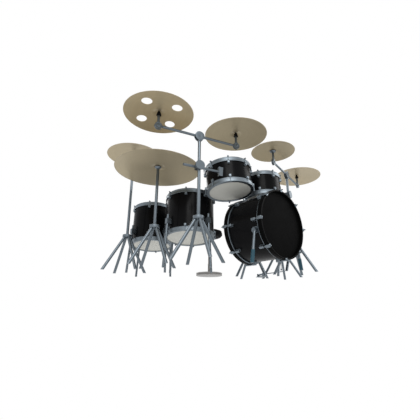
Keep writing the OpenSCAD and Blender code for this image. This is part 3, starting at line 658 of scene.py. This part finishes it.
# %% Hoops and lugs for each drum
HOOP_T, GAP = 7, 0.4
drums = [
    ("rack1", "rack1_shell", "rack1", 392, 221, 8, 1, 6.5, RACK_LEAN_DIR),
    ("rack2", "rack2_shell", "rack2", 351, 220, 8, 30.3, 3.5, RACK_LEAN_DIR),
    ("floor1", "floor1_shell", "kit", 440, 386, 8, 41.7, FLOOR_LEAN, FLOOR_LEAN_DIR),
    ("floor2", "floor2_shell", "kit", 400, 387, 6, 45, FLOOR_LEAN, FLOOR_LEAN_DIR),
    ("snare", "snare_shell", "kit", 356, 140, 8, 22.5, 0, 0),
]
hoop_sets, lug_sets = {}, {}
for name, node, body, d, h, n, turn, lean, towards in drums:
    base = drum_frame(node, lean, towards)
    pressed = hoop(name + "_hoop", d)
    hoop_sets[name] = copies(name + "_hoop_pair", pressed, both_ends(base, h))
    unit = lug(name + "_lug", d / 2 - HOOP_T - GAP, d / 2)
    lug_sets[name] = copies(name + "_lug_set", unit, around(base, h, n, turn))
    print(name, "hoops", len(hoop_sets[name].data.polygons), "faces,",
          "lugs", len(lug_sets[name].data.polygons))

for name in ("rack1", "rack2"):
    finish_piece(hoop_sets[name], name, "chrome", chrome, name + "_hoops")
    finish_piece(lug_sets[name], name, "chrome", chrome, name + "_lugs")
floor_names = ("floor1", "floor2", "snare")
floor_hoops = join("floor_drum_hoop_set", [hoop_sets[n] for n in floor_names])
floor_lugs = join("floor_drum_lug_set", [lug_sets[n] for n in floor_names])
finish_piece(floor_hoops, "kit", "chrome", chrome, "floor_drum_hoops")
finish_piece(floor_lugs, "kit", "chrome", chrome, "floor_drum_lugs")

# %% [markdown]
# ## Bass drum hoops
# The bass drum lies on its side. Its wooden hoops are deep and soft-cornered, and a slim metal
# ring beside each holds the head. Both are rings, so the lathe's ring profile gives them, with a
# wide radius for the wood and a small one for the metal.

# %% Wooden hoops and metal rings
BASS_R, BASS_LEN, HOOP_W, RING_W = 280, 384, 38, 7
BASS_HOOP_T, BASS_CLAWS = 14, 8
BASS_SHELL_R = BASS_R - BASS_HOOP_T - 3
bass = Matrix.Translation(middle("bass_shell")) @ Matrix.Rotation(math.radians(-90), 4, "X")

wood = lathe("bass_hoop", ring_profile(BASS_R - BASS_HOOP_T, BASS_R, 0, HOOP_W, 3, 4), 144)
wood = copies("bass_hoop_pair", wood, both_ends(bass, BASS_LEN))
finish_piece(wood, "kit", "hoop_black", hoop_black, "bass_hoops")

ring_line = ring_profile(BASS_SHELL_R + 0.1, BASS_R - 4, HOOP_W, HOOP_W + RING_W, 2.4, 3)
flesh = lathe("flesh", ring_line, 144)
flesh = copies("bass_flesh_pair", flesh, both_ends(bass, BASS_LEN))
finish_piece(flesh, "kit", "chrome", chrome, "bass_flesh_rings")


# %% [markdown]
# ## Claws and bass drum lugs
# A claw hooks over the wooden hoop, and a long key rod pulls it towards the lug on the shell.
# The hook is three bevelled blocks that overlap, which rounds its corners the way a casting
# does; the rod, its round head and its square end are turned.

# %% Eight claws and eight long lugs at each end
def claw():
    """A cast hook over the wooden hoop, with a key rod that runs into the lug."""
    lip = block("lip", (BASS_R - 12, -11, -5), (BASS_R + 8, 11, 0), 2, 3)
    bar = block("bar", (BASS_R + 0.5, -12.5, -5), (BASS_R + 9.5, 12.5, 28), 3, 3)
    neck = block("neck", (BASS_R + 0.5, -9, 20), (BASS_R + 9.5, 9, 38), 3, 3)
    rod = lathe("rod", rod_profile(3.9, -9, 61), 16)
    head = lathe("head", rod_profile(5.4, -13, -4.5, 1.5), 24)
    key = block("key", (-3.4, -3.4, -19), (3.4, 3.4, -12), 0.9, 2)
    for part in (rod, head, key):
        place(part, Matrix.Translation(((BASS_R + 5) * MM, 0, 0)))
    return join("claw", [lip, bar, neck, rod, head, key])


def bass_lug():
    """A long casing on the shell, waisted beside its foot, with a collar for the rod."""
    start, end = HOOP_W + RING_W + 6, HOOP_W + RING_W + 46
    body = block("body", (BASS_SHELL_R - 1, -9.5, start), (BASS_R + 11, 9.5, end), 4, 4)
    foot = block("foot", (BASS_SHELL_R - 2, -11, start - 1), (BASS_SHELL_R + 6, 11, end + 1), 2, 2)
    collar = lathe("collar", ring_profile(3.5, 6.2, start - 3, start + 4, 0.8, 2), 24)
    place(collar, Matrix.Translation(((BASS_R + 5) * MM, 0, 0)))
    return join("bass_lug", [body, foot, collar])


claws = copies("bass_claw_set", claw(), around(bass, BASS_LEN, BASS_CLAWS, 0))
finish_piece(claws, "kit", "chrome", chrome, "bass_claws")
lugs = copies("bass_lug_set", bass_lug(), around(bass, BASS_LEN, BASS_CLAWS, 0))
finish_piece(lugs, "kit", "chrome", chrome, "bass_lugs")
print("bass hoops", len(wood.data.polygons), "claws", len(claws.data.polygons))

# %% [markdown]
# ## What holds a cymbal
# Above each post the cymbal rests on a rubber cone or on a felt in a cup, with a felt and a wing
# nut on top. The cone stops the hole from being cut by the rod, which is why it is soft.
# The parts are turned, and the nut's two wings are bevelled blocks.

# %% Cup, wing nut, cone and felts
POST_H, SEAT_GAP, SLEEVE_H, CUP_H, FELT_H, TOP_FELT_H = 123, 2, 34, 16, 9, 8
EYE_T, CHEEK_T, TILT_R, ROD_R, CUP_R = 10, 5, 28, 3.9, 26


def cup_line(low):
    """The profile of a dished cup whose bottom is at low."""
    return rounded(12, low + 2, 2, -90, -30, 2) + [(CUP_R - 2, low + 8)] \
        + rounded(CUP_R, low + CUP_H - 2, 2, 0, 90, 3) \
        + [(18, low + CUP_H), (17, low + CUP_H - 1), (0, low + CUP_H - 1), (0, low)]


def wing_nut(name, low):
    """A wing nut whose bottom is low mm above the tilter's pivot."""
    nut_line = rounded(5, low + 1, 1, -90, 0, 2) + [(4.2, low + 11), (0, low + 12), (0, low)]
    body = lathe("nut", nut_line, 24)
    wings = []
    for side in (-1, 1):
        wing = block("wing", (4, -1.8, low + 3), (17, 1.8, low + 12), 1.7, 3)
        place(wing, turn_z(0 if side > 0 else 180))
        wings.append(wing)
    return join(name, [body] + wings)


def upright(name, frame_at, body, cup):
    """The lower felt or rubber cone, and the top felt, above the post. Returns the seat and top heights."""
    seat = POST_H - SEAT_GAP
    top = POST_H + CYMBAL_T + SEAT_GAP
    if cup:
        low = lathe(name + "_low_felt", ring_profile(4.2, 12.5, seat - FELT_H, seat, 2, 3), 40)
        finish_piece(place(low, frame_at), body, "felt", felt.material)
    else:
        cone = [(4.2, seat - SLEEVE_H)] + rounded(17, seat - SLEEVE_H + 1.5, 1.5, -90, 0, 3) \
            + [(17.6, seat - SLEEVE_H + 8), (12.5, seat - 12), (8, seat - 2), (6.4, seat),
               (4.2, seat)]
        sleeve = lathe(name + "_sleeve", cone, 48)
        finish_piece(place(sleeve, frame_at), body, "felt", rubber.material)
    high = lathe(name + "_top_felt", ring_profile(4.2, 15, top, top + TOP_FELT_H, 2, 3), 40)
    finish_piece(place(high, frame_at), body, "felt", felt.material)
    return seat, top


# %% [markdown]
# ## Tilters
# Two round plates clamp the boom's eye between them, and a bridge over the plates carries the
# post. The plates have a raised rim and a raised middle, so they are turned, not cut from a
# plain disc. The whole tilter is one metal piece that rides on its own body.

# %% The four tilters
DISH = 0.8


def tilter(node, joint, cup):
    """The steel piece of one tilter, and its soft parts."""
    at = joint_frame(joint)
    seat, top = upright(node, at, node, cup)
    cheek = EYE_T / 2 + GAP
    half = cheek + CHEEK_T
    parts = []
    for side in (-1, 1):
        disc = lathe("disc", [(0, cheek), (TILT_R - 2, cheek)]
                     + rounded(TILT_R - 1.5, half - 1.5, 1.5, 0, 90, 3)
                     + [(TILT_R - 7, half), (TILT_R - 8, half - DISH), (11, half - DISH),
                        (10, half), (0, half)], 64)
        parts.append(place(disc, SIDEWAYS if side > 0 else SIDEWAYS @ UPSIDE_DOWN))
    pin = lathe("pin", rod_profile(5, -half - 5, half + 5, 1), 32)
    parts.append(place(pin, SIDEWAYS))
    bolt = lathe("bolt", rod_profile(8.5, half - 0.2, half + 4, 1.2), 6)
    parts.append(place(bolt, SIDEWAYS))
    parts.append(block("bridge", (-10, -half, TILT_R - 3), (10, half, TILT_R + 6), 2, 2))
    post_top = seat - (FELT_H + CUP_H if cup else SLEEVE_H) + 2
    parts.append(lathe("post", rod_profile(10, TILT_R, post_top, 1), 40))
    if cup:
        parts.append(lathe("cup", cup_line(seat - FELT_H - CUP_H), 56))
    parts.append(lathe("rod", rod_profile(ROD_R, seat - 30, top + TOP_FELT_H + 18, 0.8), 24))
    parts.append(wing_nut("wing_nut", top + TOP_FELT_H + 0.2))
    piece = join(node + "_body", parts)
    place(piece, at)
    return finish_piece(piece, node, "steel", steel, node)


for node, cup in (("tilter_left", False), ("tilter_mid", False), ("tilter_splash", True),
                  ("tilter_right", False)):
    piece = tilter(node, node + "_tilt", cup)
    print(piece.name, len(piece.data.polygons), "faces")

# %% [markdown]
# ## Booms
# A boom is a round bar that rocks on its stand like a balance: a hub at its middle, and at each
# end a flat tongue that swells into the eye its tilter clamps. Forging runs these into each
# other; overlapping turned and bevelled parts give the same look and keep every bore round.

# %% The two booms
BOOM_R, BOOM_HALF, HUB_R, TONGUE = 10, 330, 30, 34


def boom(node, joint):
    """One boom, level at its joint."""
    reach = BOOM_HALF - TONGUE
    parts = [place(lathe("bar", rod_profile(BOOM_R, -reach, reach, 1.5), 48), ALONG),
             place(lathe("hub", ring_profile(6.1, HUB_R, -BOOM_R, BOOM_R, 1.8), 64), SIDEWAYS)]
    for side in (-1, 1):
        near, far = sorted((side * (reach - 4), side * (BOOM_HALF - 16)))
        parts.append(block("tongue", (near, -4.9, -8), (far, 4.9, 8), 1.4, 2))
        eye = lathe("eye", ring_profile(5.1, 25, -EYE_T / 2, EYE_T / 2, 0.9), 56)
        parts.append(place(eye, Matrix.Translation((side * BOOM_HALF * MM, 0, 0)) @ SIDEWAYS))
    piece = place(join(node + "_bar", parts), joint_frame(joint))
    return finish_piece(piece, node, "steel", steel, node)


for node in ("front_boom", "right_boom"):
    print(boom(node, node + "_tilt").name)

# %% [markdown]
# ## Poles
# Every stand's pole is the same tube from its collar up. Two end in round cheeks for a boom, two
# in a cup and a rod for a cymbal, one under the snare's basket, and one is the hi-hat's tube
# with the pull rod inside it. They differ only at the top, so each top is a function.

# %% Six poles
COLLAR_TOP, COLLAR_H, COLLAR_R, POLE_R = 320, 26, 40, 12
BOOM_Z, RIDE_Z, REAR_Z, BASKET_Z, HIHAT_CUP_Z = 963, 832, 1122, 462, 752
FOOT = COLLAR_TOP - COLLAR_H


def boom_head():
    """Two round cheeks on a bridge, with a domed pin through them."""
    inner = BOOM_R + GAP
    half = inner + CHEEK_T
    parts = [lathe("pole", rod_profile(POLE_R, FOOT, BOOM_Z - HUB_R - 10, 1), 48),
             block("bridge", (-POLE_R, -half, BOOM_Z - 46), (POLE_R, half, BOOM_Z - 31), 2.5, 3)]
    lift = Matrix.Translation((0, 0, BOOM_Z * MM)) @ SIDEWAYS
    for low in (inner, -half):
        cheek = ring_profile(5.5, 38, low, low + CHEEK_T, 1.6)
        parts.append(place(lathe("cheek", cheek, 72), lift))
    parts.append(place(lathe("pin", rod_profile(6, -half - 2, half + 2, 1.8), 36), lift))
    return join("boom_head", parts)


def straight(z):
    """A pole with a cup for the lower felt, a rod, and a wing nut above the cymbal."""
    cup_top = z - SEAT_GAP - FELT_H
    top = z + CYMBAL_T + SEAT_GAP + TOP_FELT_H
    return join("straight", [
        lathe("pole", rod_profile(POLE_R, FOOT, cup_top - CUP_H / 2, 1), 48),
        lathe("cup", cup_line(cup_top - CUP_H), 56),
        lathe("rod", rod_profile(ROD_R, cup_top - 1, top + 18, 0.8), 24),
        wing_nut("wing_nut", top + 0.2)])


tube = [(5, FOOT), (POLE_R, FOOT), (POLE_R, HIHAT_CUP_Z - CUP_H)] \
    + rounded(CUP_R, HIHAT_CUP_Z - 2, 2, -30, 90, 4) + [(5, HIHAT_CUP_Z)]
lower = Matrix.Translation((0, 0, -BOOM_Z * MM))
boom_joints = ("front_boom_tilt", "right_boom_tilt")
poles = [place(boom_head(), joint_frame(j) @ lower) for j in boom_joints]
poles += [place(straight(z), on_floor(joints[j]["pos_m"]))
          for j, z in (("ride_sway", RIDE_Z), ("rear_crash_sway", REAR_Z))]
snare_pole = lathe("pole", rod_profile(POLE_R, FOOT, BASKET_Z - 16, 1), 48)
poles.append(place(snare_pole, on_floor(middle("snare_shell"))))
poles.append(place(lathe("tube", tube, 56), on_floor(middle("hihat_rod"))))
finish_piece(join("stand_pole_set", poles), "kit", "steel", steel, "stand_poles")

# %% [markdown]
# ## Collars
# A moulded collar holds the tops of a stand's three legs. It has a heavy lower edge, a domed
# shoulder and a small lip round the pole, which a plain ring would lose.

# %% Six collars
spots = [joints[j]["pos_m"] for j in (*boom_joints, "ride_sway", "rear_crash_sway")]
spots += [middle("snare_shell"), middle("hihat_rod")]
collar_line = rounded(POLE_R + 2.5, FOOT + 1.5, 1.5, 180, 270, 3) \
    + rounded(COLLAR_R - 3, FOOT + 3, 3, -90, 0, 4) \
    + rounded(COLLAR_R - 5, COLLAR_TOP - 5, 5, 0, 90, 5) \
    + [(22, COLLAR_TOP), (20, COLLAR_TOP - 1.5)] \
    + rounded(POLE_R + 2.5, COLLAR_TOP - 3, 1.5, 90, 180, 3)
collar = lathe("collar", collar_line, 64)
collars = copies("stand_collar_set", collar, [on_floor(p) for p in spots])
finish_piece(collars, "kit", "steel", steel, "stand_collars")
print("poles", len(poles), "collars", len(spots))

# %% [markdown]
# ## Throne base
# The base is two stacked discs with a groove between them, and a fillet up to a slim sleeve
# that the post slides in. One closed outline holds all of it, the bore included.

# %% Turn the throne's base
BASE_R, SLEEVE_R, BASE_TOP = 125, 12.5, 27
low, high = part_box("throne_base")
throne_at = Matrix.Translation((*((low + high) / 2).xy, 0))
outline = [(9.2, 8), (9.2, 117), (SLEEVE_R - 1, 117), (SLEEVE_R, 116), (SLEEVE_R, 40)] \
    + rounded(SLEEVE_R + 12, 39, 12, 180, 270, 5) + [(BASE_R - 20, BASE_TOP)] \
    + rounded(BASE_R - 3.5, BASE_TOP - 3.5, 3.5, 90, 0, 4) \
    + rounded(BASE_R - 2, 18, 2, 0, -90, 3) \
    + [(BASE_R - 8, 16), (BASE_R - 8, 11)] + rounded(BASE_R - 3, 8, 3, 90, 0, 4) \
    + rounded(BASE_R - 2, 2, 2, 0, -90, 3) + [(0, 0), (0, 8)]
base = place(lathe("throne_base_turned", outline, 96), throne_at)
finish_piece(base, "kit", "base_grey", base_grey, "throne_base")

# %% [markdown]
# ## Throne cushion
# A stuffed round pad bulges most at mid height and pulls in at its seams. Its shape could be
# guessed with a lathe alone, but a cover under pressure finds it by itself: a slightly small
# pad is turned, remeshed evenly, and inflated as cloth, with its flat bottom held still.

# %% Turn and inflate the cushion
SEAT_R, SEAT_T = 138, 81
seat_low, seat_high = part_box("throne_seat")
seat_at = Vector((*((seat_low + seat_high) / 2).xy, seat_low.z))
INSET = 7
VOXEL, HELD_BELOW, PRESSURE, FRAMES, CAP = 0.0055, 0.004, 4, 20, 0.007
r, t = SEAT_R - INSET, SEAT_T - INSET
roll = t * 0.40
pad_line = [(0, 1)] + rounded(r - roll, 1 + roll, roll, -90, 0, 6) \
    + rounded(r - roll, t - 6 - roll, roll, 0, 90, 6) + [(r * 0.4, t - 3), (0, t - 2)]
cushion = lathe("throne_cushion", pad_line, 96)
only(cushion)
remesh = cushion.modifiers.new("voxels", "REMESH")
remesh.mode = "VOXEL"
remesh.voxel_size = VOXEL
bpy.ops.object.modifier_apply(modifier="voxels")
held = cushion.vertex_groups.new(name="held")
held.add([v.index for v in cushion.data.vertices if v.co.z < HELD_BELOW], 1.0, "REPLACE")
before = [v.co.copy() for v in cushion.data.vertices]
sim = cushion.modifiers.new("stuffing", "CLOTH")
sim.settings.use_pressure = True
sim.settings.uniform_pressure_force = PRESSURE
sim.settings.effector_weights.gravity = 0
sim.settings.vertex_group_mass = "held"
for number in range(1, FRAMES + 1):
    bpy.context.scene.frame_set(number)
only(cushion)
bpy.ops.object.modifier_apply(modifier="stuffing")
for vertex, start in zip(cushion.data.vertices, before):
    step = vertex.co - start
    if step.length > CAP:
        vertex.co = start + step.normalized() * CAP
bpy.context.scene.frame_set(1)
smoother = cushion.modifiers.new("smooth", "SUBSURF")
smoother.levels = smoother.render_levels = 1
only(cushion)
bpy.ops.object.modifier_apply(modifier="smooth")
only(cushion)
bpy.ops.object.shade_smooth()
place(cushion, Matrix.Translation(seat_at))
finish_piece(cushion, "throne_seat", "cushion", cloth.material, "throne_seat")
seat_top = max(v.co.z for v in cushion.data.vertices)
print("cushion", len(cushion.data.polygons), "faces, top at", round(seat_top, 3))

# %% [markdown]
# ## Piping
# Two piped seams join the cover's top and bottom to its band. The remesh would erase anything so
# thin, so the cords are turned afterwards and sit half sunk in the inflated side.

# %% Turn the two piped seams
PIPE_R, PIPE_SUNK, PIPE_BAND = 2.2, 0.8, 3
pipes = []
for height in (0.30, 0.72):
    z = SEAT_T * height
    at_seam = [v.co.xy - seat_at.xy for v in cushion.data.vertices
               if abs((v.co.z - seat_at.z) / MM - z) < PIPE_BAND]
    side = max(v.length for v in at_seam) / MM
    pipes.append(lathe("pipe", rounded(side - PIPE_SUNK, z, PIPE_R, 0, 330, 11), 96))
    print("seam at", round(z), "mm, radius", round(side))
piping = place(join("throne_piping", pipes), Matrix.Translation(seat_at))
finish_piece(piping, "throne_seat", "cushion", cloth.material)

# %% [markdown]
# ## Finishes for the CAD pieces that stay in view
# Shells, heads, legs, arms, clamps and pedal parts are already the right shape. A copy would add
# nothing, so each keeps its own mesh and gets its finish by the slot its record names.

# %% Give the CAD pieces their finishes
finish_of = {
    "shell_black": shell_black, "hoop_black": hoop_black, "head_black": head_black,
    "head_coated": coated.material, "chrome": chrome, "steel": steel, "felt": felt.material,
    "teal": teal, "base_grey": base_grey, "post_brown": post_brown, "cushion": cloth.material,
}
slot_of = {p["node"]: p["material_slot"] for p in frame["record"]["subparts"]}
for node, obj in frame["nodes"].items():
    if slot_of[node] in finish_of:
        obj.data.materials.clear()
        obj.data.materials.append(finish_of[slot_of[node]])
shown = [n for n, o in frame["nodes"].items() if not o.hide_render]
print("CAD pieces in view", len(shown))

# %% [markdown]
# ## Floor
# A plain pale floor. The eye is lower than the floor here, so the floor is clear from its back,
# and it is kept out of reflections, or the undersides that are seen would be dark.

# %% The floor
deselect()
bpy.ops.mesh.primitive_plane_add(size=60, location=(0, 0, -0.001))
ground = bpy.context.object
ground.name = "floor"
paper = Finish("floor", (0.82, 0.82, 0.82), roughness=0.9)
from_below = paper.node("NewGeometry", output="Backfacing")
clear = paper.node("BsdfTransparent")
solid = Value(paper.tree, paper.shader.outputs[0])
both = paper.node("MixShader", inputs={0: from_below, 1: solid, 2: clear})
paper.tree.links.new(both.socket, paper.tree.nodes["Material Output"].inputs["Surface"])
ground.data.materials.append(paper.material)
ground.visible_diffuse = False
ground.visible_glossy = False
ground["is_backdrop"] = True

# %% [markdown]
# ## Studio
# The world is white to the eye and a touch cooler and brighter as light. Three large area
# lights give soft shadows: a key from the front left, a fill from the right, one from behind.
# Lamps alone would leave the plated tubes black between highlights, so the world does most.

# %% World and softboxes
world = bpy.data.worlds.new("studio")
bpy.context.scene.world = world
world.use_nodes = True
tree = world.node_tree
for n in list(tree.nodes):
    tree.nodes.remove(n)
to_eye = add_node(tree, "LightPath", output="Is Camera Ray")
seen = add_node(tree, "Background", inputs={"Color": (1, 1, 1, 1), "Strength": 1.0})
lit = add_node(tree, "Background", inputs={"Color": (0.98, 0.99, 1, 1), "Strength": 1.1})
pick = add_node(tree, "MixShader", inputs={0: to_eye, 1: lit, 2: seen})
add_node(tree, "OutputWorld", inputs={"Surface": pick})


def softbox(name, where, target, size, power):
    """A large area light that faces target."""
    deselect()
    bpy.ops.object.light_add(type="AREA", location=where)
    light = bpy.context.object
    light.name = name
    light.data.size = size
    light.data.energy = power
    light.rotation_euler = (Vector(target) - Vector(where)).to_track_quat("-Z", "Y").to_euler()
    return light


softbox("key", (-2.6, -3.0, 3.4), (0, 0, 0.6), 2.4, 120)
softbox("fill", (3.4, -2.2, 2.4), (0, 0, 0.6), 2.2, 60)
softbox("back", (0.5, 3.6, 3.2), (0, 0, 0.6), 2.6, 70)

# %% The camera
EYE_FROM_BASS = Vector((-1.993, -1.526))
EYE_Z = -0.32
EYE_PITCH, EYE_HEADING = 108.1, -42.3
spot = middle("bass_shell").xy + EYE_FROM_BASS
bpy.ops.object.camera_add(location=(spot.x, spot.y, EYE_Z),
                          rotation=(math.radians(EYE_PITCH), 0, math.radians(EYE_HEADING)))
camera = bpy.context.object
camera.data.sensor_width = 36
camera.data.lens = 26.4
bpy.context.scene.camera = camera
bpy.context.scene.view_settings.view_transform = "Standard"
print("camera", [round(v, 3) for v in camera.location])

# %% [markdown]
# ## Size
# The dressed kit should be the size of the CAD kit, so the dressed kit's box is printed.

# %% Print the dressed kit's box
low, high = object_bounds()
print("visual box", [round(v, 3) for v in high - low])
